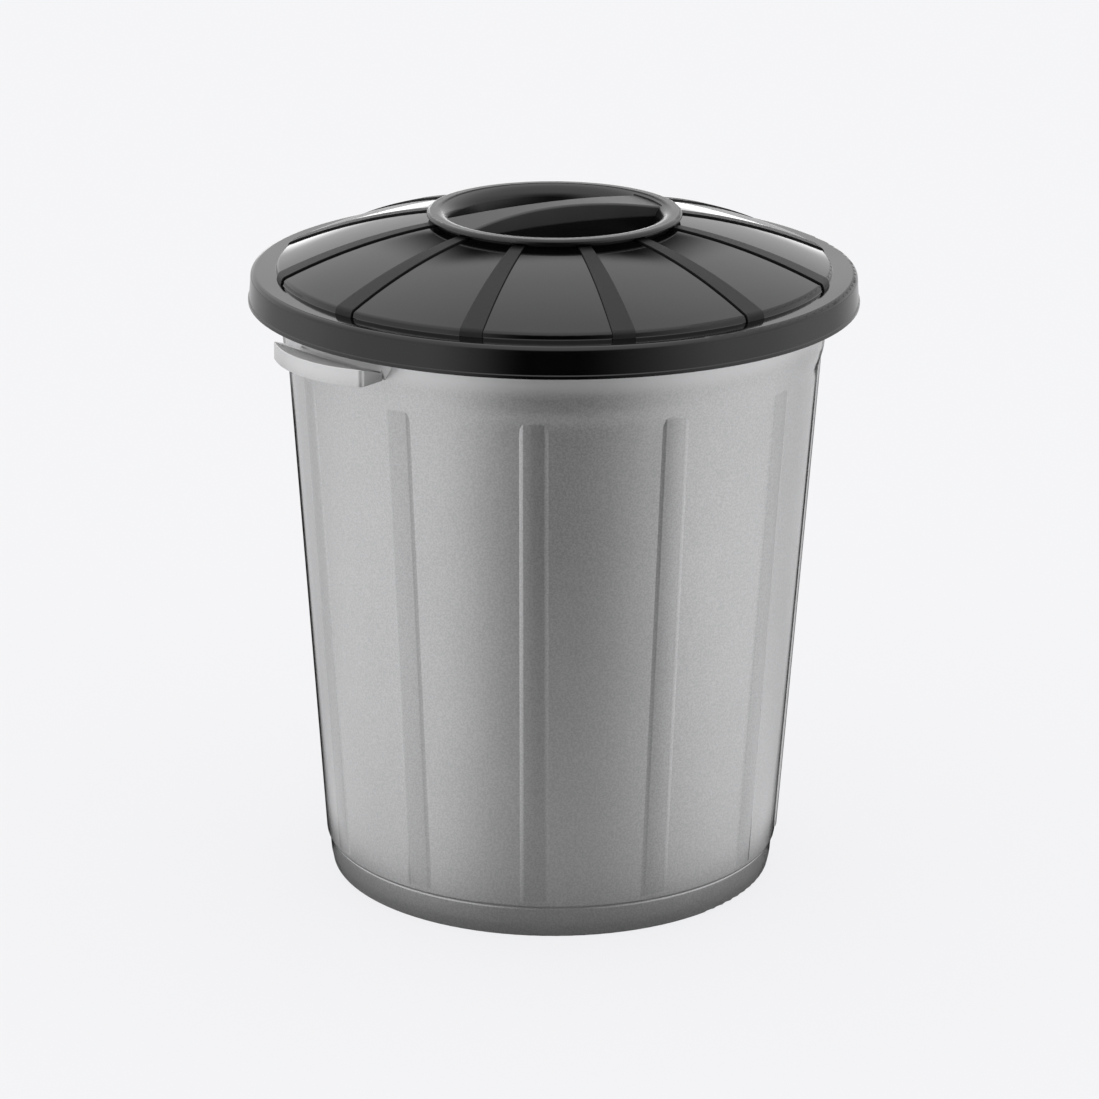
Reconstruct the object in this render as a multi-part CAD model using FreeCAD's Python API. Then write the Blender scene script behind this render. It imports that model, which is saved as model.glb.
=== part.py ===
# Round ribbed bin with a lift-off domed lid, in millimetres.
#
# Frame: origin at the centre of the foot ring's underside, +Z up. The two grip ears lie on the X
# axis, one at -X and one at +X. The ribs stand at 15 degrees and every 30 after, so each ear is
# midway between two of them. The lid lies on the rim, turned a little about Z as it was put down.

import FreeCAD
import Part
import math
import os

from FreeCAD import Vector

os.makedirs("parts", exist_ok=True)

# ---------------------------------------------------------------- driving dimensions

# bucket: foot ring
WALL = 2.3                  # plastic wall
FOOT_R = 171.0              # foot ring at the floor
FOOT_EDGE = 2.4             # rounding at the floor
FOOT_MID_R = 172.9
FOOT_MID_Z = 9.0
FOOT_MID_EDGE = 40.0
FOOT_TOP_R = 174.0
FOOT_TOP_Z = 23.0
FOOT_WALL = 3.2
FOOT_INNER_EDGE = 0.8
BASE_RECESS = 10.0          # the floor's underside stands this high
BASE_EDGE = 1.5
FLOOR_R = 169.8             # corner between floor and wall, inside
FLOOR_EDGE = 9.0
STEP_Z = 25.6               # the inside step above the foot ring
STEP_EDGE = 1.5

# bucket: wall, collar and rolled rim
CREASE_R = 173.6            # groove between foot ring and wall
CREASE_Z = 24.5
CREASE_EDGE = 0.4
WALL_LOW_R = 176.15         # lower end of the cone
WALL_LOW_Z = 25.0
WALL_LOW_EDGE = 2.8
WALL_TOP_R = 201.6          # upper end of the cone
WALL_TOP_Z = 407.4
WALL_TOP_EDGE = 50.0
COLLAR_R = 205.2
COLLAR_Z = 420.4
COLLAR_EDGE = 40.0
COLLAR_TOP_R = 208.6
RIM_Z = 472.5               # top of the rolled rim
RIM_R = 223.6
RIM_SWEEP = 4.5             # rounding from the collar out to the rim
RIM_EDGE = 1.0
RIM_LIP_Z = 462.0           # the rim's turned-down edge

# ribs
RIB_COUNT = 12
RIB_FIRST = 15.0            # degrees from X
RIB_HEIGHT = 1.2            # of its crown over the wall
RIB_CROWN_HALF = 2.6        # half width of the crown
RIB_CROWN_EDGE = 40.0       # wide rounding from crown to shoulders
RIB_SHOULDER_HALF = 7.7
RIB_SHOULDER_DROP = 0.5     # how much lower the shoulders lie
RIB_SHOULDER_EDGE = 3.0     # rounding from shoulders to flanks
RIB_ROOT_HALF = 12.7        # half width of its root, inside the wall
RIB_SINK = 1.0              # how deep its root lies in the wall
RIB_BOTTOM_Z = 30.0
RIB_TOP_Z = 414.5
RIB_CAP = 5.0               # length of its sloping top end
RIB_CAP_DROP = 1.1          # how deep the rib has sunk at that end

# grip ears, drawn at +X and turned to both sides
EAR_HALF_ANGLE = 12.9       # degrees to each end plate
EAR_OUT_R = 241.7           # the lip's middle
EAR_ARC_R = 95.3            # the lip's own curve
EAR_ARC_HALF = 26.0         # degrees of it on each side, up to the corner's rounding
EAR_CORNER = 4.0            # upright rounding between lip and end plate
EAR_TOP_Z = 446.0
EAR_LOW_Z = 433.2
EAR_EDGE = 0.7              # rounding of the top edge
EAR_ROOT_Z = 440.0          # where the sloping web meets the back plate
EAR_LEVEL_R = 227.7         # from here out to the lip the top is level
EAR_WALL = 2.4
PLATE_TOP_Z = 456.0
PLATE_WALL = 1.8
PLATE_FOOT_Z = 446.0        # from here down the back plate spreads towards the web
PLATE_FOOT_SPREAD = 2.0
GUSSET_LOW_Z = 429.3
GUSSET_INNER_ANGLE = 11.9
GUSSET_OUTER_ANGLE = 17.6   # the gusset runs on past the end plate
GUSSET_OUT = 8.5            # how far it stands off the collar at its top
GUSSET_SINK = 1.2
PEG_R = 3.5
PEG_HEAD_R = 6.0
PEG_HEAD = 2.4
PEG_ANGLE = 8.0
PEG_Z = 450.0
PEG_CLEAR = 0.1             # round the peg, in its hole
PEG_HEAD_GAP = 0.6          # the flat head clears the round wall

# lid shell
LID_TURN = -12.3            # degrees about Z
LID_WALL = 2.2
SKIRT_LOW_Z = 452.0
SKIRT_LOW_R = 230.5
SKIRT_TOP_R = 228.8
LID_RIM_Z = 475.0           # the flat rim
LID_EDGE = 4.0              # rounding from skirt to flat rim
SHOULDER_R = 210.0          # foot of the shoulder wall
SHOULDER_FOOT_EDGE = 0.8
SHOULDER_TOP_R = 208.9
SHOULDER_TOP_Z = 479.3
SHOULDER_EDGE = 3.4
DOME_R = 206.5              # three points of the dome's curve
DOME_Z = 480.3
DOME_MID_R = 150.0
DOME_MID_Z = 500.7
DOME_IN_R = 87.0
DOME_IN_Z = 513.6
BEAD_HEIGHT = 2.4           # thickened lower edge of the skirt
BEAD_OUT = 0.6
BEAD_EDGE = 0.3

# strap spider
STRAP_COUNT = 12
STRAP_FIRST = 15.0          # degrees from the grip bar
STRAP_HALF_IN = 4.5
STRAP_HALF_OUT = 8.5
STRAP_THICK = 1.2
RING_IN_R = 87.2
RING_R = 90.6
RING_Z = 516.4
RING_SINK = 0.4             # the ring's underside reaches into the straps' thickness
STRAP_IN_R = 89.0

# lid grip
GRIP_R = 96.2
GRIP_TOP_Z = 519.4
GRIP_EDGE = 2.4
MOUTH_R = 80.4
MOUTH_EDGE = 11.0
CUP_FLOOR_R = 73.9
CUP_FLOOR_Z = 492.0
CUP_FLOOR_EDGE = 5.0
GRIP_WALL = 2.2
BAR_STEP_R = 84.0           # the bar's ends are set into the flange, up to here
BAR_REACH = 90.0            # its curves are drawn over this half length
BAR_HALF_WAIST = 8.4
BAR_HALF_END = 24.6
BAR_END_Z = 515.6
BAR_ARCH = 8.4
BAR_EDGE = 1.6
BAR_HOLLOW_R = 68.0
HOOK_COUNT = 4
HOOK_FIRST = 45.0           # degrees from the bar
HOOK_WIDTH = 14.0
HOOK_ROOT_R = 80.2
HOOK_TIP_R = 89.6
HOOK_GAP = 0.3              # under the dome's edge
HOOK_DROP = 0.9
HOOK_TIP = 1.4
HOOK_FOOT = 8.0

FAR = 300.0                 # past everything, for cutting blocks


# ---------------------------------------------------------------- helpers

def upright(x, z):
    """A point of a turned profile, in the XZ plane."""
    return Vector(x, 0, z)


def level(x, y):
    """A point of a plan outline, in the XY plane."""
    return Vector(x, y, 0)


def rounded(corners, place):
    """A closed face through (a, b, rounding) corners, each rounded by a tangent arc."""
    ends = []
    edges = []
    for i, (a, b, rounding) in enumerate(corners):
        here = place(a, b)
        before = place(*corners[i - 1][:2])
        after = place(*corners[(i + 1) % len(corners)][:2])
        back = (before - here).normalize()
        on = (after - here).normalize()
        half = back.getAngle(on) / 2
        run = rounding / math.tan(half)
        if run > 0:
            bisector = (back + on).normalize()
            middle = here + bisector * (rounding / math.sin(half) - rounding)
            edges.append(Part.Arc(here + back * run, middle, here + on * run).toShape())
        ends.append((here + back * run, here + on * run))
    for i, (start, _) in enumerate(ends):
        leave = ends[i - 1][1]
        if leave.distanceToPoint(start) > 1e-6:
            edges.append(Part.LineSegment(leave, start).toShape())
    return Part.Face(Part.Wire(Part.__sortEdges__(edges)))


def shifted(corners, distance):
    """An open line of corners moved sideways, to its left for a positive distance."""
    flat = [Vector(a, b, 0) for a, b, _ in corners]
    runs = [(flat[i + 1] - flat[i]).normalize() for i in range(len(flat) - 1)]
    moved = []
    for i, (_, _, rounding) in enumerate(corners):
        arriving = runs[max(i - 1, 0)]
        leaving = runs[min(i, len(runs) - 1)]
        normals = Vector(-arriving.y, arriving.x, 0), Vector(-leaving.y, leaving.x, 0)
        step = (normals[0] + normals[1]) * (distance / (1 + normals[0].dot(normals[1])))
        turns_left = arriving.cross(leaving).z > 0
        change = -distance if turns_left else distance
        here = flat[i] + step
        moved.append((here.x, here.y, max(rounding + change, 0) if rounding else 0))
    return moved


def turned(corners):
    """The solid that a closed profile sweeps about Z."""
    return rounded(corners, upright).revolve(Vector(0, 0, 0), Vector(0, 0, 1), 360)


def plain(pairs):
    """Corners with no rounding."""
    return [(a, b, 0) for a, b in pairs]


def block(corners, low, high):
    """A plan outline as a block between two heights."""
    face = rounded(corners, level)
    face.translate(Vector(0, 0, low))
    return face.extrude(Vector(0, 0, high - low))


def spun(shape, degrees):
    """A copy turned about Z."""
    copy = shape.copy()
    copy.rotate(Vector(0, 0, 0), Vector(0, 0, 1), degrees)
    return copy


def on_circle(radius, degrees, z):
    """A point at an angle about Z."""
    angle = math.radians(degrees)
    return Vector(radius * math.cos(angle), radius * math.sin(angle), z)


def fused(shapes):
    """Several solids as one."""
    return shapes[0].fuse(shapes[1:]).removeSplitter()


def save(name, shape):
    """Write one sub-part."""
    shape.exportStep("parts/" + name + ".step")
    print(name, len(shape.Solids), "solid", shape.isValid(), round(shape.Volume / 1000, 1), "cm3")


# ---------------------------------------------------------------- bucket

def between(z, low_r, low_z, top_r, top_z):
    """The radius of a cone at a height."""
    return low_r + (z - low_z) / (top_z - low_z) * (top_r - low_r)


def wall_radius(z):
    """The bucket's outer radius between its crease and its collar."""
    return between(z, WALL_LOW_R, WALL_LOW_Z, WALL_TOP_R, WALL_TOP_Z)


def collar_radius(z):
    """The collar's outer radius."""
    return between(z, COLLAR_R, COLLAR_Z, COLLAR_TOP_R, RIM_Z - WALL)


def bucket_shell():
    """The turned bucket: foot ring, crease, cone, collar, rolled rim and floor."""
    foot = [
        (FOOT_R - FOOT_WALL, BASE_RECESS, BASE_EDGE),
        (FOOT_R - FOOT_WALL, 0, FOOT_INNER_EDGE),
        (FOOT_R, 0, FOOT_EDGE),
        (FOOT_MID_R, FOOT_MID_Z, FOOT_MID_EDGE),
        (FOOT_TOP_R, FOOT_TOP_Z, CREASE_EDGE),
    ]
    outside = [
        (CREASE_R, CREASE_Z, CREASE_EDGE),
        (WALL_LOW_R, WALL_LOW_Z, WALL_LOW_EDGE),
        (WALL_TOP_R, WALL_TOP_Z, WALL_TOP_EDGE),
        (COLLAR_R, COLLAR_Z, COLLAR_EDGE),
        (COLLAR_TOP_R, RIM_Z - WALL, RIM_SWEEP),
        (RIM_R - WALL, RIM_Z - WALL, RIM_EDGE),
        (RIM_R - WALL, RIM_LIP_Z, 0),
    ]
    inside = shifted(outside, WALL)[1:]
    floor = [
        (FOOT_TOP_R - FOOT_WALL, STEP_Z, STEP_EDGE),
        (FLOOR_R, BASE_RECESS + WALL, FLOOR_EDGE),
        (0, BASE_RECESS + WALL, 0),
        (0, BASE_RECESS, 0),
    ]
    return turned(foot + outside + inside[::-1] + floor)


def rib_section(z, inset):
    """One rib outline at the X axis: a wide soft crown, rounded shoulders and sloping flanks."""
    crown = wall_radius(z) - inset + RIB_HEIGHT
    one_side = [
        (crown - RIB_HEIGHT - RIB_SINK, RIB_ROOT_HALF, 0),
        (crown - RIB_SHOULDER_DROP, RIB_SHOULDER_HALF, RIB_SHOULDER_EDGE),
        (crown, RIB_CROWN_HALF, RIB_CROWN_EDGE),
    ]
    other_side = [(r, -y, rounding) for r, y, rounding in one_side[::-1]]
    face = rounded(one_side + other_side, level)
    face.translate(Vector(0, 0, z))
    return face.OuterWire


def rib(inset):
    """One raised rib whose top end sinks into the wall, moved in by the wall for the groove behind it."""
    cap_z = RIB_TOP_Z - RIB_CAP
    low = rib_section(RIB_BOTTOM_Z, inset)
    high = rib_section(cap_z, inset)
    tip = rib_section(RIB_TOP_Z, inset + RIB_CAP_DROP)
    return Part.makeLoft([low, high], True, True).fuse(Part.makeLoft([high, tip], True, True))


def all_ribs(inset):
    """The rib at every place round the bucket."""
    return [spun(rib(inset), RIB_FIRST + i * 360.0 / RIB_COUNT) for i in range(RIB_COUNT)]


def peg(side, radius, start_r, end_r):
    """A round bar that points out from the axis, where an ear has one of its two pegs."""
    outward = on_circle(1.0, side * PEG_ANGLE, 0)
    return Part.makeCylinder(radius, end_r - start_r, on_circle(start_r, side * PEG_ANGLE, PEG_Z), outward)


def bin_body():
    """The bucket with its ribs and the four holes that the ears' pegs pass through."""
    body = fused([bucket_shell()] + all_ribs(0)).cut(all_ribs(WALL))
    radius = collar_radius(PEG_Z)
    holes = [spun(peg(side, PEG_R + PEG_CLEAR, radius - 2 * WALL, radius + 2 * WALL), turn)
             for turn in (0, 180) for side in (-1, 1)]
    return body.cut(holes)


# ---------------------------------------------------------------- grip ears

def ear_outline(inset):
    """The ear seen from above: two radial end plates joined by the curved lip."""
    slope = math.tan(math.radians(EAR_HALF_ANGLE))
    shift = inset / math.cos(math.radians(EAR_HALF_ANGLE))
    half = math.radians(EAR_ARC_HALF)
    curve = EAR_ARC_R - inset
    # the lip's arc is the rounding of a corner that lies ahead of its middle
    ahead = EAR_OUT_R - EAR_ARC_R + curve / math.cos(half)
    run = (slope * ahead - shift) / (math.cos(half) + slope * math.sin(half))
    corner = ahead - run * math.sin(half), run * math.cos(half)
    root = collar_radius(EAR_LOW_Z) - WALL
    root_y = slope * root - shift
    return [
        (root, -root_y, 0),
        (corner[0], -corner[1], EAR_CORNER - inset),
        (ahead, 0, curve),
        (corner[0], corner[1], EAR_CORNER - inset),
        (root, root_y, 0),
    ]


def above_ear(drop):
    """The space over the ear: level behind the lip, then falling to the back plate."""
    root_r = collar_radius(EAR_ROOT_Z) + PLATE_WALL
    rise = (EAR_TOP_Z - EAR_ROOT_Z) / (EAR_LEVEL_R - root_r)
    side = plain([
        (0, EAR_ROOT_Z - drop - rise * root_r),
        (EAR_LEVEL_R, EAR_TOP_Z - drop),
        (FAR, EAR_TOP_Z - drop),
        (FAR, RIM_Z),
        (0, RIM_Z),
    ])
    face = rounded(side, upright)
    face.translate(Vector(0, -FAR / 2, 0))
    return face.extrude(Vector(0, FAR, 0))


def beyond_collar(low, high, out):
    """A turned ring of space from the collar's face outwards."""
    return turned(plain([(collar_radius(low), low), (collar_radius(high), high), (out(high), high), (out(low), low)]))


def far_out(z):
    """A radius past the ear at every height."""
    return FAR


def plate_face(z):
    """The back plate's outer face."""
    return collar_radius(z) + PLATE_WALL


def back_plate():
    """A curved plate on the collar's face, between the end plates, with a foot on the web."""
    edge = on_circle(FAR, EAR_HALF_ANGLE, 0)
    sector = block(plain([(0, 0), (edge.x, -edge.y), (edge.x, edge.y)]), 0, RIM_Z)
    spread_r = plate_face(PLATE_FOOT_Z) + PLATE_FOOT_SPREAD
    in_web_z = EAR_ROOT_Z - EAR_WALL / 2
    foot = turned(plain([
        (collar_radius(PLATE_FOOT_Z), PLATE_FOOT_Z),
        (plate_face(PLATE_FOOT_Z), PLATE_FOOT_Z),
        (spread_r, EAR_ROOT_Z),
        (spread_r, in_web_z),
        (collar_radius(in_web_z), in_web_z),
    ]))
    return beyond_collar(EAR_LOW_Z, PLATE_TOP_Z, plate_face).fuse(foot).common(sector)


def gusset(side):
    """The wedge from an end plate's root up the collar, wide at its top."""
    sunk = collar_radius(PLATE_TOP_Z) - GUSSET_SINK
    corners = [
        on_circle(collar_radius(GUSSET_LOW_Z) - GUSSET_SINK, side * EAR_HALF_ANGLE, GUSSET_LOW_Z),
        on_circle(sunk, side * GUSSET_INNER_ANGLE, PLATE_TOP_Z),
        on_circle(collar_radius(PLATE_TOP_Z) + GUSSET_OUT, side * EAR_HALF_ANGLE, PLATE_TOP_Z),
        on_circle(sunk, side * GUSSET_OUTER_ANGLE, PLATE_TOP_Z),
    ]
    faces = [Part.Face(Part.makePolygon([corners[i], corners[j], corners[k], corners[i]]))
             for i, j, k in ((0, 1, 2), (0, 2, 3), (0, 3, 1), (1, 2, 3))]
    wedge = Part.Solid(Part.Shell(faces))
    return wedge.common(beyond_collar(GUSSET_LOW_Z, PLATE_TOP_Z, far_out))


def ear_at_plus_x():
    """Lip, end plates and sloping web as one moulding, open below, with back plate and pegs."""
    outer = block(ear_outline(0), EAR_LOW_Z, RIM_Z).cut(above_ear(0))
    top = [edge for edge in outer.Edges
           if min(v.Z for v in edge.Vertexes) > EAR_TOP_Z - 1 and edge.CenterOfMass.x > EAR_LEVEL_R + 1]
    outer = outer.makeFillet(EAR_EDGE, top)
    inner = block(ear_outline(EAR_WALL), EAR_LOW_Z - WALL, RIM_Z).cut(above_ear(EAR_WALL))
    moulding = outer.cut(inner).common(beyond_collar(EAR_LOW_Z - WALL, PLATE_TOP_Z, far_out))
    pieces = [moulding, back_plate(), gusset(-1), gusset(1)]
    head_r = collar_radius(PEG_Z) - WALL - PEG_HEAD_GAP
    for side in (-1, 1):
        pieces.append(peg(side, PEG_R, head_r - PEG_HEAD / 2, collar_radius(PEG_Z) + PLATE_WALL / 2))
        pieces.append(peg(side, PEG_HEAD_R, head_r - PEG_HEAD, head_r))
    return fused(pieces)


# ---------------------------------------------------------------- lid shell

DOME = Part.Circle(upright(DOME_R, DOME_Z), upright(DOME_MID_R, DOME_MID_Z), upright(DOME_IN_R, DOME_IN_Z))


def dome_height(radius):
    """The height of the dome's face at a radius."""
    return DOME.Center.z + math.sqrt(DOME.Radius ** 2 - (radius - DOME.Center.x) ** 2)


def dome_corner(outer_r, inner_r):
    """The corner whose rounding is the dome's own curve between two radii."""
    angles = [math.asin((radius - DOME.Center.x) / DOME.Radius) for radius in (outer_r, inner_r)]
    middle = sum(angles) / 2
    reach = DOME.Radius / math.cos((angles[0] - angles[1]) / 2)
    return (DOME.Center.x + reach * math.sin(middle), DOME.Center.z + reach * math.cos(middle), DOME.Radius)


def lid_line(inner_r):
    """The lid's outer face from the dome's inner edge to the foot of the shoulder wall."""
    return [
        (inner_r, dome_height(inner_r), 0),
        dome_corner(DOME_R, inner_r),
        (SHOULDER_TOP_R, SHOULDER_TOP_Z, SHOULDER_EDGE),
        (SHOULDER_R, LID_RIM_Z, SHOULDER_FOOT_EDGE),
    ]


def lid_shell():
    """Dome, shoulder wall, flat rim, rounded edge and beaded skirt."""
    dome = lid_line(DOME_IN_R)
    edge = (SKIRT_TOP_R, LID_RIM_Z, LID_EDGE)
    foot = (SKIRT_LOW_R, SKIRT_LOW_Z, 0)
    bead_z = SKIRT_LOW_Z + BEAD_HEIGHT
    bead = [
        (between(bead_z, SKIRT_LOW_R, SKIRT_LOW_Z, SKIRT_TOP_R, LID_RIM_Z), bead_z + BEAD_OUT, 0),
        (SKIRT_LOW_R + BEAD_OUT, bead_z, BEAD_EDGE),
        (SKIRT_LOW_R + BEAD_OUT, SKIRT_LOW_Z, BEAD_EDGE),
    ]
    inside = shifted(dome + [edge, foot], -LID_WALL)
    return turned(dome + [edge] + bead + inside[::-1])


# ---------------------------------------------------------------- strap spider

def strap_sector(degrees):
    """A tapering upright block that keeps one strap of the skin."""
    outer_r = SHOULDER_R + 2 * STRAP_THICK
    plan = plain([
        (STRAP_IN_R, -STRAP_HALF_IN),
        (outer_r, -STRAP_HALF_OUT),
        (outer_r, STRAP_HALF_OUT),
        (STRAP_IN_R, STRAP_HALF_IN),
    ])
    return spun(block(plan, LID_RIM_Z, GRIP_TOP_Z), degrees)


def lid_strap_spider():
    """Twelve straps over dome and shoulder, joined by the ring that the grip's flange lies on."""
    under = lid_line(RING_IN_R)
    foot = (SHOULDER_R, LID_RIM_Z, 0)
    over = shifted(under[:-1] + [foot], STRAP_THICK)
    skin = turned(under + [(over[-1][0], LID_RIM_Z, 0)] + over[::-1])
    straps = [skin.common(strap_sector(STRAP_FIRST + i * 360.0 / STRAP_COUNT)) for i in range(STRAP_COUNT)]
    ring = turned(plain([
        (RING_IN_R, dome_height(RING_IN_R) + RING_SINK),
        (RING_R, dome_height(RING_R) + RING_SINK),
        (RING_R, RING_Z),
        (RING_IN_R, RING_Z),
    ]))
    band = turned([
        (RING_IN_R, dome_height(RING_IN_R), 0),
        dome_corner(RING_R, RING_IN_R),
        (RING_R, dome_height(RING_R), 0),
        (RING_R, dome_height(RING_R) + STRAP_THICK, 0),
        (RING_IN_R, dome_height(RING_IN_R) + STRAP_THICK, 0),
    ])
    return fused([ring, band] + straps)


# ---------------------------------------------------------------- lid grip

def bar_column(inset, low):
    """The bar's hourglass plan as a tall block, wide at both ends and narrow at its waist."""
    waist = BAR_HALF_WAIST - inset
    end = BAR_HALF_END - inset
    corners = [Vector(x, y, low) for x, y in
               ((-BAR_REACH, -end), (BAR_REACH, -end), (BAR_REACH, end), (-BAR_REACH, end))]
    edges = [
        Part.Arc(corners[0], Vector(0, -waist, low), corners[1]).toShape(),
        Part.LineSegment(corners[1], corners[2]).toShape(),
        Part.Arc(corners[2], Vector(0, waist, low), corners[3]).toShape(),
        Part.LineSegment(corners[3], corners[0]).toShape(),
    ]
    return Part.Face(Part.Wire(edges)).extrude(Vector(0, 0, GRIP_TOP_Z + 2 * BAR_ARCH - low))


def above_arch(drop):
    """The space over the bar's arched top."""
    ends = upright(-BAR_REACH, BAR_END_Z - drop), upright(BAR_REACH, BAR_END_Z - drop)
    top = upright(BAR_REACH, GRIP_TOP_Z + 2 * BAR_ARCH), upright(-BAR_REACH, GRIP_TOP_Z + 2 * BAR_ARCH)
    edges = [
        Part.Arc(ends[0], upright(0, BAR_END_Z + BAR_ARCH - drop), ends[1]).toShape(),
        Part.LineSegment(ends[1], top[0]).toShape(),
        Part.LineSegment(top[0], top[1]).toShape(),
        Part.LineSegment(top[1], ends[0]).toShape(),
    ]
    face = Part.Face(Part.Wire(edges))
    face.translate(Vector(0, -BAR_HALF_END, 0))
    return face.extrude(Vector(0, 2 * BAR_HALF_END, 0))


def cup_shell():
    """Flange, rounded mouth and tapering cup."""
    inside = [(0, CUP_FLOOR_Z, 0), (CUP_FLOOR_R, CUP_FLOOR_Z, CUP_FLOOR_EDGE), (MOUTH_R, GRIP_TOP_Z, 0)]
    outside = shifted(inside, -GRIP_WALL)
    meet_r = between(RING_Z, outside[1][0], outside[1][1], outside[2][0], outside[2][1])
    flange = [(GRIP_R, GRIP_TOP_Z, GRIP_EDGE), (GRIP_R, RING_Z, 0), (meet_r, RING_Z, 0)]
    return turned(inside[:2] + [(MOUTH_R, GRIP_TOP_Z, MOUTH_EDGE)] + flange + outside[1::-1])


def cup_space():
    """The cup's space out to the middle of its wall, with a straight step set into the flange."""
    half = GRIP_WALL / 2
    return turned(plain([
        (0, CUP_FLOOR_Z - half),
        (CUP_FLOOR_R + half, CUP_FLOOR_Z - half),
        (between(RING_Z, CUP_FLOOR_R, CUP_FLOOR_Z, MOUTH_R, GRIP_TOP_Z) + half, RING_Z),
        (BAR_STEP_R, RING_Z),
        (BAR_STEP_R, GRIP_TOP_Z + 2 * BAR_ARCH),
        (0, GRIP_TOP_Z + 2 * BAR_ARCH),
    ]))


def grip_bar():
    """The arched bar, its two long top edges rounded."""
    bar = bar_column(0, CUP_FLOOR_Z - GRIP_WALL).cut(above_arch(0))
    long_edges = [edge for edge in bar.Edges
                  if edge.CenterOfMass.z > BAR_END_Z and edge.Length > BAR_REACH]
    return bar.makeFillet(BAR_EDGE, long_edges).common(cup_space())


def snap_hook(degrees):
    """A tongue below the flange with a barb that catches under the dome's edge."""
    top = DOME_IN_Z - LID_WALL - HOOK_GAP
    side = plain([
        (HOOK_ROOT_R, top),
        (HOOK_TIP_R, top - HOOK_DROP),
        (HOOK_TIP_R, top - HOOK_DROP - HOOK_TIP),
        (HOOK_ROOT_R - GRIP_WALL, top - HOOK_FOOT),
    ])
    face = rounded(side, upright)
    face.translate(Vector(0, -HOOK_WIDTH / 2, 0))
    return spun(face.extrude(Vector(0, HOOK_WIDTH, 0)), degrees)


def lid_grip():
    """Cup with its flange, bar and hooks; the bar is hollow from below."""
    cup = cup_shell().cut(bar_column(0, CUP_FLOOR_Z).common(above_arch(0)).common(cup_space()))
    hollow = bar_column(GRIP_WALL, CUP_FLOOR_Z - 2 * GRIP_WALL).cut(above_arch(GRIP_WALL))
    core = Part.makeCylinder(BAR_HOLLOW_R, FAR, Vector(0, 0, CUP_FLOOR_Z - FAR / 2))
    hooks = [snap_hook(HOOK_FIRST + i * 360.0 / HOOK_COUNT) for i in range(HOOK_COUNT)]
    return fused([cup, grip_bar()] + hooks).cut(hollow.common(core))


# ---------------------------------------------------------------- all sub-parts

save("bin_body", bin_body())
ear = ear_at_plus_x()
save("side_handle_right", ear)
save("side_handle_left", spun(ear, 180))
save("lid_shell", spun(lid_shell(), LID_TURN))
save("lid_strap_spider", spun(lid_strap_spider(), LID_TURN))
save("lid_grip", spun(lid_grip(), LID_TURN))
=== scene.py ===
# %% [markdown]
# # A silver plastic bin with a black domed lid
#
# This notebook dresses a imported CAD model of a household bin: a tapered bucket with soft ribs, two
# grip ears, a glossy lid with matt straps, and a round grip sunk into the lid's middle. The CAD
# frame already holds every piece at its real size, so the work here is finish, light and camera.

# %% Load the frame
import math

import bpy
from mathutils import Matrix, Vector

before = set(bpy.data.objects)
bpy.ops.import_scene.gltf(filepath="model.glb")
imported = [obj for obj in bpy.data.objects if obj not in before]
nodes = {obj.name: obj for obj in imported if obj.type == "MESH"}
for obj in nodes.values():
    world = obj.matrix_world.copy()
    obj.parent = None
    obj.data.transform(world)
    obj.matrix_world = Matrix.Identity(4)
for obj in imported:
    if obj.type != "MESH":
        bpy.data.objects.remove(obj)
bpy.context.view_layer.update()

# %% [markdown]
# ## The camera
#
# The photograph was taken from well back with a long lens, which keeps the bin's sides nearly
# parallel. The camera looks down at the bin by about 18 degrees and stands 41 degrees round from
# the ears' plane, so the left ear points to the front left. A tiny roll levels the foot. Three
# directions are kept for later, because the light is built round the camera's side of the bin.

# %% Camera
VIEW_TURN = math.radians(41.0)
PITCH = math.radians(18.214)
ROLL = 0.00574               # in radians
CAMERA_BACK = 3.0417         # these three in metres
CAMERA_SIDE = -0.0023
CAMERA_HEIGHT = 1.2512
LENS = 135.82                # in millimetres
CLIP_END = 60.0

AWAY = Vector((math.sin(VIEW_TURN), math.cos(VIEW_TURN), 0))
RIGHT = Vector((math.cos(VIEW_TURN), -math.sin(VIEW_TURN), 0))
UP = Vector((0, 0, 1))


def camera_matrix():
    """The camera's place and axes, from its pitch and roll."""
    forward = AWAY * math.cos(PITCH) - UP * math.sin(PITCH)
    level_up = AWAY * math.sin(PITCH) + UP * math.cos(PITCH)
    side = RIGHT * math.cos(ROLL) + level_up * math.sin(ROLL)
    top = level_up * math.cos(ROLL) - RIGHT * math.sin(ROLL)
    place = RIGHT * CAMERA_SIDE - AWAY * CAMERA_BACK + UP * CAMERA_HEIGHT
    axes = Matrix((side, top, -forward)).transposed().to_4x4()
    return Matrix.Translation(place) @ axes


lens = bpy.data.cameras.new("camera")
lens.lens = LENS
lens.clip_end = CLIP_END
camera = bpy.data.objects.new("camera", lens)
camera.matrix_world = camera_matrix()
bpy.context.collection.objects.link(camera)
bpy.context.scene.camera = camera
print("camera at", tuple(round(v, 3) for v in camera.location))

# %% [markdown]
# ## Shader maths
#
# A node tree reads best as a formula. `Value` wraps one socket, so `mask * SHARE + BASE` adds the
# two Math nodes by itself. The reflected forms let a plain number stand first, as in `1 - mask`.
# Every other node comes from the one method `node`.

# %% The Value class


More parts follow.
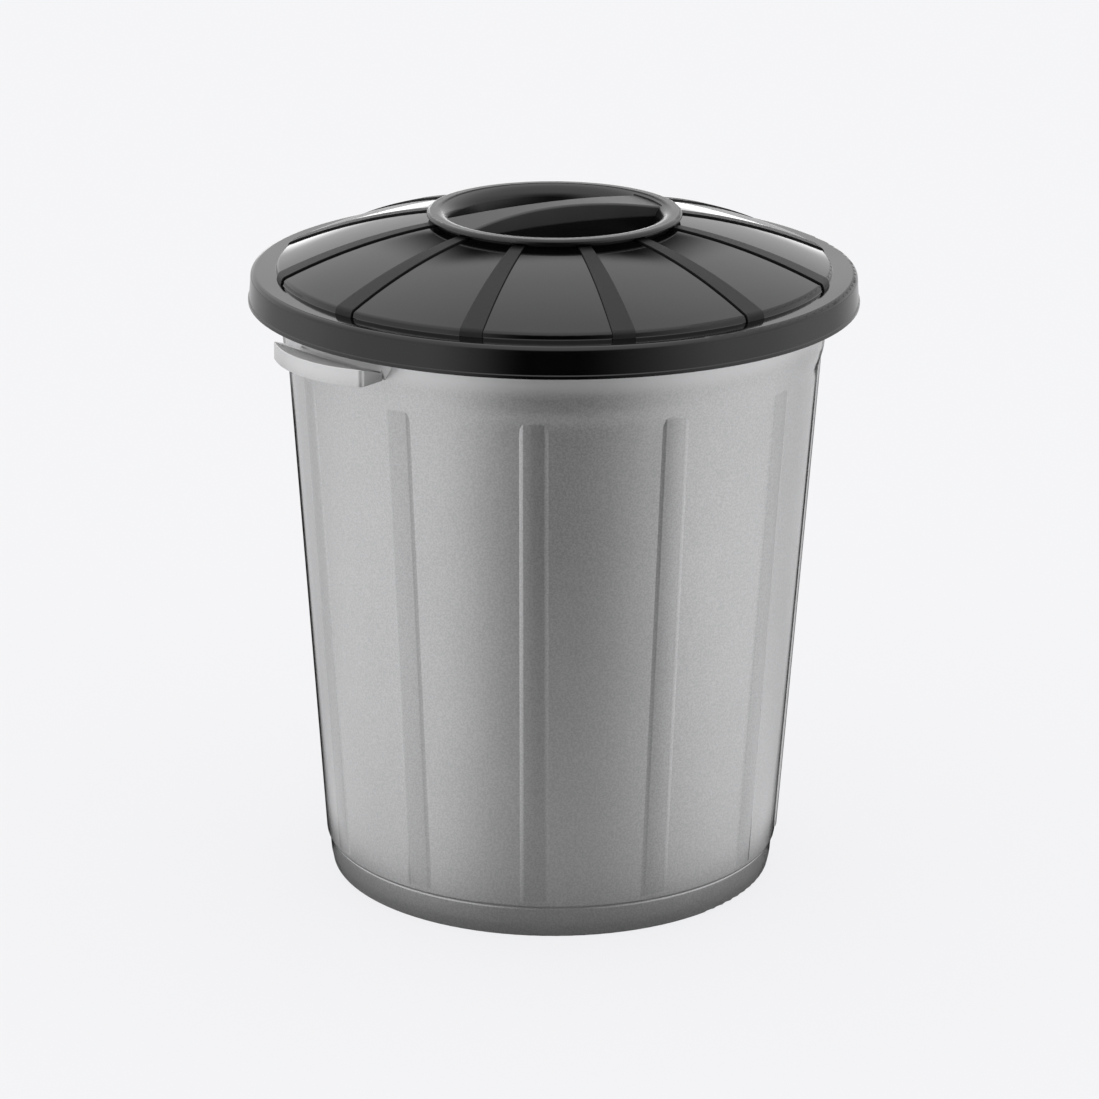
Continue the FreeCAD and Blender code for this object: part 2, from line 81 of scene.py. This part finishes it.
class Value:
    """One socket of a shader tree, with arithmetic."""

    def __init__(self, tree, socket=None):
        self.tree = tree
        self.socket = socket

    def node(self, kind, inputs=None, output=0, **settings):
        """Add a node: its settings first, then the values or links of its sockets."""
        made = self.tree.nodes.new(kind)
        for name, setting in settings.items():
            setattr(made, name, setting)
        for name, given in (inputs or {}).items():
            if isinstance(given, Value):
                self.tree.links.new(given.socket, made.inputs[name])
            else:
                made.inputs[name].default_value = given
        return Value(self.tree, made.outputs[output] if made.outputs else None)

    def maths(self, operation, *operands):
        """One Math node."""
        return self.node("ShaderNodeMath", dict(enumerate(operands)), operation=operation)

    def __add__(self, other):
        return self.maths("ADD", self, other)

    def __radd__(self, other):
        return self.maths("ADD", other, self)

    def __sub__(self, other):
        return self.maths("SUBTRACT", self, other)

    def __rsub__(self, other):
        return self.maths("SUBTRACT", other, self)

    def __mul__(self, other):
        return self.maths("MULTIPLY", self, other)

    def __rmul__(self, other):
        return self.maths("MULTIPLY", other, self)

    def __abs__(self):
        return self.maths("ABSOLUTE", self)


print("Value adds a Math node for each of + - * and abs")

# %% [markdown]
# ## Places and masks
#
# The finish changes with the place: on a rib and up at the collar, where shade and light are
# painted, and near the middle of the lid. These helpers measure where a point lies or where a ray
# goes, and turn the measure into a mask from zero to one. A mask's edge is soft, so that no change
# of finish looks painted on.

# %% Places and masks


def object_place(start):
    """Where a point lies in the object's own coordinates, in metres."""
    return start.node("ShaderNodeTexCoord", output="Object")


def vector_maths(start, operation, *operands, output=0):
    """One Vector Math node."""
    inputs = dict(enumerate(operands))
    return start.node("ShaderNodeVectorMath", inputs, output, operation=operation)


def along(start, place, axis):
    """How far a direction or place lies along an axis."""
    return vector_maths(start, "DOT_PRODUCT", place, tuple(axis), output="Value")


def reach_from_axis(start, place):
    """The distance from the bin's upright axis."""
    flat = vector_maths(start, "MULTIPLY", place, (1, 1, 0))
    return vector_maths(start, "LENGTH", flat, output="Value")


def smooth_step(start, value, low, high):
    """Zero below low, one above high, and soft between."""
    inputs = {"Value": value, "From Min": low, "From Max": high}
    return start.node("ShaderNodeMapRange", inputs, interpolation_type="SMOOTHSTEP")


def is_positive(start, value):
    """One where a value is above zero, zero elsewhere."""
    return start.maths("GREATER_THAN", value, 0.0)


print("up is", tuple(UP), "and the camera's right", tuple(round(v, 3) for v in RIGHT))

# %% [markdown]
# ## Noise, colours and the shader
#
# No moulding is quite even: flakes, flow marks, grain and wear are all noise of some size. A blend
# of two close greys is enough to show it. All four plastics end in the same Principled shader and
# differ only in what goes to its sockets.

# %% Noise, colours and the shader
COLOUR_FACTOR = 0            # the Mix node has sockets for each data type, these are for colours
COLOUR_FIRST = 6
COLOUR_SECOND = 7
COLOUR_RESULT = 2


def grey(level):
    """A neutral colour."""
    return (level, level, level, 1)


BLACK = grey(0.0)
WHITE = grey(1.0)


def noise(start, blobs_per_metre, detail):
    """Noise over the object's own coordinates."""
    inputs = {"Vector": object_place(start), "Scale": blobs_per_metre, "Detail": detail}
    return start.node("ShaderNodeTexNoise", inputs)


def blend(start, factor, first, second):
    """The first colour where the factor is zero, the second where it is one."""
    inputs = {COLOUR_FACTOR: factor, COLOUR_FIRST: first, COLOUR_SECOND: second}
    return start.node("ShaderNodeMix", inputs, COLOUR_RESULT, data_type="RGBA")


def bump(start, height, rise):
    """A surface that rises and falls by height times rise, in metres."""
    return start.node("ShaderNodeBump", {"Height": height, "Distance": rise})


def new_material(name):
    """An empty material and the Value that starts its tree."""
    material = bpy.data.materials.new(name)
    material.use_nodes = True
    material.node_tree.nodes.clear()
    return material, Value(material.node_tree)


def finish_material(start, sockets):
    """The Principled shader with these sockets, joined to the output."""
    shader = start.node("ShaderNodeBsdfPrincipled", sockets)
    start.node("ShaderNodeOutputMaterial", {"Surface": shader})


def tell(material):
    """Print what was made."""
    print("made", material.name, "with", len(material.node_tree.nodes), "nodes")


print("colours go from", BLACK, "to", WHITE)

# %% [markdown]
# ## Where the ribs are
#
# Each rib is painted a little darker: a painted shade for the way the light falls on the raised
# ribs. The mask folds the angle round the axis into one rib's step. An arc's length from the rib's
# middle line is then that angle times the reach, so the rib keeps its width while the bucket
# widens upwards.

# %% Rib mask
RIB_STEP = math.radians(30.0)
STEP_MIDDLE = 0.5            # a rib stands in the middle of each step
RIB_HALF = (0.0076, 0.0104)  # half widths where the mask begins to fade and ends
RIB_RANGE = (0.030, 0.411)   # heights of its two ends
RIB_SOFT = 0.002


def rib_mask(start, place):
    """One on the ribs, zero between them."""
    angle = start.maths("ARCTAN2", along(start, place, (0, 1, 0)), along(start, place, (1, 0, 0)))
    in_step = start.maths("FRACT", angle * (1 / RIB_STEP))
    off_middle = abs(in_step - STEP_MIDDLE) * RIB_STEP
    aside = off_middle * reach_from_axis(start, place)
    height = along(start, place, UP)
    foot, head = RIB_RANGE
    above = smooth_step(start, height, foot, foot + RIB_SOFT)
    below = 1 - smooth_step(start, height, head - RIB_SOFT, head)
    return (1 - smooth_step(start, aside, *RIB_HALF)) * above * below


print("one rib every", round(math.degrees(RIB_STEP)), "degrees")

# %% [markdown]
# ## Silver bucket plastic
#
# The bucket is grey plastic with metal flakes mixed in, not metal: it is brighter towards a light
# than plain grey plastic, but has no mirror image. So the shader is mostly metallic, quite rough,
# and a fine speckle stands for the flakes. Slow clouds are the flow marks of the melt. A clear skin
# lies over it all. Seen at a flat angle the surface mirrors more sharply, which draws a dark
# outline. Up at the collar and the ears, in the lid's shade, the plastic is painted paler and less
# metallic: a painted light that lifts the shade under the lid.

# %% Bucket plastic
SILVER_DARK = grey(0.41)
SILVER_LIGHT = grey(0.545)
SILVER_PAINTED_LIGHT = grey(0.60)
FLAKES = (760.0, 1.0)        # of a noise: blobs per metre and detail
FLAKES_EDGES = (0.34, 0.66)  # noise levels where a flake begins and is full
FLAKES_SHARE = 0.66
FLAKES_RISE = 0.00002
CLOUDS = (14.0, 3.0)
RIB_PAINTED_SHADE = 0.15
COLLAR_PAINTED_LIGHT = (0.428, 0.442)      # heights where it begins and is full
FLAT_ANGLE = (0.74, 0.93)    # of Layer Weight's facing value
FLAT_SHARPENS = 0.8
METALLIC_WALL = 0.74
METALLIC_LOSS = 0.26         # at the collar
ROUGH_WALL = 0.37
ROUGH_FLAKES = 0.06
SKIN_WEIGHT = 1.0
SKIN_ROUGHNESS = 0.08


def bucket_plastic():
    """Silver-grey plastic with flakes."""
    material, start = new_material("bucket_plastic")
    place = object_place(start)
    flakes = smooth_step(start, noise(start, *FLAKES), *FLAKES_EDGES)
    mixed = flakes * FLAKES_SHARE + noise(start, *CLOUDS) * (1 - FLAKES_SHARE)
    collar_painted_light = smooth_step(start, along(start, place, UP), *COLLAR_PAINTED_LIGHT)
    silver = blend(start, mixed, SILVER_DARK, SILVER_LIGHT)
    # Painted light: the silver turns paler at the collar and ears, lifting the shade under the lid.
    painted_light_silver = blend(start, collar_painted_light, silver, SILVER_PAINTED_LIGHT)
    facing = start.node("ShaderNodeLayerWeight", output="Facing")
    sharper = 1 - smooth_step(start, facing, *FLAT_ANGLE) * FLAT_SHARPENS
    finish_material(start, {
        # Painted shade: the ribs blend a little towards black.
        "Base Color": blend(start, rib_mask(start, place) * RIB_PAINTED_SHADE, painted_light_silver, BLACK),
        "Metallic": METALLIC_WALL - collar_painted_light * METALLIC_LOSS,
        "Roughness": (flakes * ROUGH_FLAKES + ROUGH_WALL) * sharper,
        "Coat Weight": SKIN_WEIGHT,
        "Coat Roughness": SKIN_ROUGHNESS,
        "Normal": bump(start, flakes, FLAKES_RISE),
    })
    return material


silver_finish = bucket_plastic()
tell(silver_finish)

# %% [markdown]
# ## Glossy lid plastic
#
# The lid is black and polished. What one sees of it is mostly reflections, and a moulded lid is
# never quite flat: a slow bump bends the reflections a little, as the sunk places near the
# shoulder do on the real one. A faint haze keeps the polish from being the same all over.

# %% Lid gloss
GLOSS_BLACK = (grey(0.0015), grey(0.0025))
WARP = (7.0, 1.0)
WARP_RISE = 0.0012
SINKS_FROM = (0.150, 0.200)
SINKS_SHARE = 0.5
HAZE = (35.0, 4.0)
ROUGH_GLOSS = 0.05
ROUGH_HAZE = 0.06


def lid_gloss():
    """Polished black plastic, slightly warped."""
    material, start = new_material("lid_gloss")
    near_shoulder = smooth_step(start, reach_from_axis(start, object_place(start)), *SINKS_FROM)
    warp = noise(start, *WARP) * (near_shoulder * SINKS_SHARE + 1)
    haze = noise(start, *HAZE)
    finish_material(start, {
        "Base Color": blend(start, haze, *GLOSS_BLACK),
        "Roughness": haze * ROUGH_HAZE + ROUGH_GLOSS,
        "Normal": bump(start, warp, WARP_RISE),
    })
    return material


gloss_finish = lid_gloss()
tell(gloss_finish)

# %% [markdown]
# ## Grained strap plastic
#
# The straps are the same black, eroded in the mould to a fine grain, so they scatter light evenly
# and read as dark grey bands beside the polished panels.

# %% Strap grain
GRAINED_BLACK = (grey(0.004), grey(0.012))
GRAIN = (1500.0, 2.0)
GRAIN_SHARE = 0.7
GRAIN_RISE = 0.00012
PATCHES = (35.0, 3.0)
GRAIN_SPECULAR = 0.3
ROUGH_STRAP = 0.42
ROUGH_GRAIN = 0.14


def lid_grained():
    """Matt black plastic with a fine moulded grain."""
    material, start = new_material("lid_grained")
    grain = noise(start, *GRAIN)
    mixed = grain * GRAIN_SHARE + noise(start, *PATCHES) * (1 - GRAIN_SHARE)
    finish_material(start, {
        "Base Color": blend(start, mixed, *GRAINED_BLACK),
        "Specular IOR Level": GRAIN_SPECULAR,
        "Roughness": grain * ROUGH_GRAIN + ROUGH_STRAP,
        "Normal": bump(start, grain, GRAIN_RISE),
    })
    return material


grained_finish = lid_grained()
tell(grained_finish)

# %% [markdown]
# ## Where light is painted on the bar
#
# The bar's top and the upper part of its sides are painted a greyer black than the cup: a painted
# light where light falls on the bar. It lies across the lid, a little turned, and gets wider
# towards its ends, so its mask takes the square of the place along the bar from the place across
# it.

# %% Bar mask
BAR_TURN = math.radians(-12.3)
BAR_LENGTHWISE = (math.cos(BAR_TURN), math.sin(BAR_TURN), 0)
BAR_ACROSS = (-math.sin(BAR_TURN), math.cos(BAR_TURN), 0)
BAR_HALF_WAIST = 0.0088
BAR_SPREAD = 2.0             # per metre: half width gained by the square of the place along the bar
BAR_ENDS = (0.0835, 0.0845)  # reach from the axis where the mask fades
BAR_PAINTED_LIGHT_FROM = (0.5095, 0.5115)    # heights
BAR_SOFT = 0.0006


def bar_painted_light_mask(start, place):
    """One on the bar's top and upper sides, where light is painted, zero in the cup and on the
    flange.
    """
    lengthwise = along(start, place, BAR_LENGTHWISE)
    across = abs(along(start, place, BAR_ACROSS))
    beyond_side = across - lengthwise * lengthwise * BAR_SPREAD
    on_bar = 1 - smooth_step(start, beyond_side, BAR_HALF_WAIST, BAR_HALF_WAIST + BAR_SOFT)
    between_ends = 1 - smooth_step(start, reach_from_axis(start, place), *BAR_ENDS)
    high = smooth_step(start, along(start, place, UP), *BAR_PAINTED_LIGHT_FROM)
    return on_bar * between_ends * high


print("the bar is turned by", round(math.degrees(BAR_TURN), 1), "degrees")

# %% [markdown]
# ## Satin grip plastic
#
# Hands polish a grip. It is smoother than the straps but not a mirror, and its wide soft
# highlights show the round of the flange. It shares the straps' grain and patches, both weaker.

# %% Grip satin
GRIP_BLACK = (grey(0.005), grey(0.009))
BAR_PAINTED_LIGHT_BLACK = (grey(0.040), grey(0.055))
GRIP_RISE = 0.00003
ROUGH_GRIP = 0.15
ROUGH_WEAR = 0.08
ROUGH_BAR = 0.25


def grip_satin():
    """Satin black plastic, with painted light greying the bar's top and upper sides."""
    material, start = new_material("grip_satin")
    wear = noise(start, *PATCHES)
    black = blend(start, wear, *GRIP_BLACK)
    bar_painted_light = blend(start, wear, *BAR_PAINTED_LIGHT_BLACK)
    on_bar = bar_painted_light_mask(start, object_place(start))
    finish_material(start, {
        # Painted light: the bar's top and upper sides are greyer than the cup.
        "Base Color": blend(start, on_bar, black, bar_painted_light),
        "Roughness": wear * ROUGH_WEAR + ROUGH_GRIP + on_bar * ROUGH_BAR,
        "Normal": bump(start, noise(start, *GRAIN), GRIP_RISE),
    })
    return material


satin_finish = grip_satin()
tell(satin_finish)

# %% [markdown]
# ## Dressing the CAD nodes
#
# Each node keeps its CAD mesh and takes the finish of its piece. The ears are moulded from the
# same plastic as the bucket.

# %% Give every node its finish
finishes = {
    "bin_body": silver_finish,
    "side_handle_left": silver_finish,
    "side_handle_right": silver_finish,
    "lid_shell": gloss_finish,
    "lid_strap_spider": grained_finish,
    "lid_grip": satin_finish,
}

for name, material in finishes.items():
    slots = nodes[name].data.materials
    slots.clear()
    slots.append(material)
print("dressed", len(finishes), "nodes")

# %% [markdown]
# ## The dark gap in front
#
# A camera looks into a light tent through a gap, and glossy things mirror the gap as a dark shape.
# Here it draws the broad dark stripe down the bucket and keeps the front of the lid's skirt black.
# It is measured by the turn from the camera's side, on the floor as in the sky. Its right edge is
# softer than its left one.

# %% Gap
GAP_INNER = math.radians(8.0)
GAP_LEFT = math.radians(48.0)
GAP_RIGHT = math.radians(70.0)


def turn_from_front(start, place):
    """The angle round the bin from the camera's side, the same to the left and to the right."""
    return start.maths("ARCTAN2", abs(along(start, place, RIGHT)), along(start, place, -AWAY))


def outside_gap(start, place):
    """Zero in the dark gap in front, one outside it."""
    on_right = is_positive(start, along(start, place, RIGHT))
    edge = on_right * (GAP_RIGHT - GAP_LEFT) + GAP_LEFT
    return smooth_step(start, turn_from_front(start, place), GAP_INNER, edge)


gap_ends = [round(math.degrees(angle)) for angle in (GAP_LEFT, GAP_RIGHT)]
print("the gap ends", gap_ends[0], "degrees to the left and", gap_ends[1], "to the right")

# %% [markdown]
# ## Light tent
#
# The light comes from all round, as in a white tent: an even wall of light at the sides and behind,
# a brighter roof, and the gap. It is painted on the world, because lamps of their own would show
# as hard spots in the glossy lid. Straight behind, low down, a painted lamp shines over the lid and
# lights the grip's near edge. Above this lamp a dark slot keeps the lid's flat rim black in front.
# For the camera itself the background is one flat pale colour.

# %% World
PALE = (0.896, 0.896, 0.912, 1)
TENT_GAP = 0.01
TENT_ROOF = 1.35
ROOF_BLEND = (0.30, 0.80)    # heights of a direction, as its sine
SLOT_FOOT = (0.31, 0.36)
SLOT_HEAD = (0.52, 0.60)
SLOT_TURN = (math.radians(167.0), math.radians(174.0))
LAMP_HEAD = (0.02, 0.13)
LAMP_TURN = (math.radians(167.0), math.radians(173.0))
LAMP_EXTRA = 2.0


def mix_shader(start, factor, first, second):
    """The first shader where the factor is zero, the second where it is one."""
    return start.node("ShaderNodeMixShader", dict(enumerate((factor, first, second))))


def tent_strength(start, direction):
    """How bright the tent is in a direction."""
    height = along(start, direction, UP)
    turn = turn_from_front(start, direction)
    above = smooth_step(start, height, *ROOF_BLEND)
    tent = outside_gap(start, direction) * (1 - above) + above * TENT_ROOF
    slot_foot = smooth_step(start, height, *SLOT_FOOT)
    slot_head = 1 - smooth_step(start, height, *SLOT_HEAD)
    slot = slot_foot * slot_head * smooth_step(start, turn, *SLOT_TURN)
    lamp = (1 - smooth_step(start, height, *LAMP_HEAD)) * smooth_step(start, turn, *LAMP_TURN)
    return tent * (1 - slot) + lamp * LAMP_EXTRA + TENT_GAP


def tent_world():
    """Flat pale background for the camera, and the light tent for everything else."""
    world = bpy.data.worlds.new("tent")
    world.use_nodes = True
    world.node_tree.nodes.clear()
    start = Value(world.node_tree)
    direction = start.node("ShaderNodeTexCoord", output="Generated")
    strength = tent_strength(start, direction)
    room = start.node("ShaderNodeBackground", {"Color": WHITE, "Strength": strength})
    pale = start.node("ShaderNodeBackground", {"Color": PALE})
    is_camera = start.node("ShaderNodeLightPath", output="Is Camera Ray")
    start.node("ShaderNodeOutputWorld", {"Surface": mix_shader(start, is_camera, room, pale)})
    return world


bpy.context.scene.world = tent_world()
bpy.context.scene.view_settings.view_transform = "Standard"
print("tent from", TENT_GAP, "in the gap to", TENT_ROOF + TENT_GAP, "at the roof")

# %% [markdown]
# ## What the floor shows in reflections
#
# Black cards on the floor, out of shot, are how a photographer gives a shiny thing its dark lines.
# Here they are a tone on the floor that only glossy reflections see. The gap goes on over the floor
# in front, weaker near the foot. A dark ring round the foot is a painted contact shadow, which only
# the reflections see. Behind, the floor is a little darker all over, and a dark wedge is what the
# bucket mirrors at its left and right edge, as a thin dark outline. The wedge ends not far behind
# the bin, or it would darken the whole back too.

# %% Floor tone
GAP_REACH = (0.30, 0.90)     # from near the foot to where the gap is full
GAP_NEAR_SHARE = 0.7
FOOT_SHADE_REACH = (0.190, 0.245)
FOOT_SHADE_TONE = 0.12
BEHIND_TURN = (math.radians(92.0), math.radians(128.0))
BEHIND_TONE = 0.62
WEDGE_SPREAD = 0.36
WEDGE_SIDE = (0.16, 0.24)
WEDGE_REACH = (1.2, 1.8)


def floor_tone(start, place):
    """What share of its light the floor shows in reflections."""
    reach = reach_from_axis(start, place)
    far = smooth_step(start, reach, *GAP_REACH)
    gap = 1 - (1 - outside_gap(start, place)) * (far * (1 - GAP_NEAR_SHARE) + GAP_NEAR_SHARE)
    # Painted contact shadow round the foot, seen only in reflections.
    painted_foot_shade = smooth_step(start, reach, *FOOT_SHADE_REACH) * (1 - FOOT_SHADE_TONE) + FOOT_SHADE_TONE
    round_back = smooth_step(start, turn_from_front(start, place), *BEHIND_TURN)
    behind = 1 - round_back * (1 - BEHIND_TONE)
    back = along(start, place, AWAY)
    aside = abs(along(start, place, RIGHT)) - back * WEDGE_SPREAD
    in_wedge = 1 - smooth_step(start, aside, *WEDGE_SIDE)
    close = 1 - smooth_step(start, reach, *WEDGE_REACH)
    outline = 1 - in_wedge * close * is_positive(start, back)
    return gap * painted_foot_shade * behind * outline


print("the floor behind keeps", BEHIND_TONE, "of its light in reflections")

# %% [markdown]
# ## Floor
#
# The floor is the same pale colour as the background, and the camera sees it almost flat, with a
# little of its real light so that a soft shadow stays. For scattered light it is a plain pale
# floor. It is much wider than the view, so that no edge of it shows.

# %% Floor
FLOOR_HALF = 14.0
FLOOR_LIT_SHARE = 0.12
CORNERS = ((-1, -1), (1, -1), (1, 1), (-1, 1))


def floor_material():
    """Pale for the camera, lit for scattered light, toned for reflections."""
    material, start = new_material("floor")
    is_camera = start.node("ShaderNodeLightPath", output="Is Camera Ray")
    is_glossy = start.node("ShaderNodeLightPath", output="Is Glossy Ray")
    tone = blend(start, floor_tone(start, object_place(start)), BLACK, PALE)
    lit = start.node("ShaderNodeBsdfDiffuse", {"Color": PALE})
    toned = start.node("ShaderNodeBsdfDiffuse", {"Color": tone})
    flat = start.node("ShaderNodeEmission", {"Color": PALE})
    unseen = mix_shader(start, is_glossy, lit, toned)
    shown = mix_shader(start, is_camera * (1 - FLOOR_LIT_SHARE), unseen, flat)
    start.node("ShaderNodeOutputMaterial", {"Surface": shown})
    return material


floor_mesh = bpy.data.meshes.new("floor")
floor_corners = [(x * FLOOR_HALF, y * FLOOR_HALF, 0) for x, y in CORNERS]
floor_mesh.from_pydata(floor_corners, [], [range(len(CORNERS))])
floor_mesh.materials.append(floor_material())
floor = bpy.data.objects.new("floor", floor_mesh)
bpy.context.collection.objects.link(floor)
print("floor", FLOOR_HALF * 2, "m square")
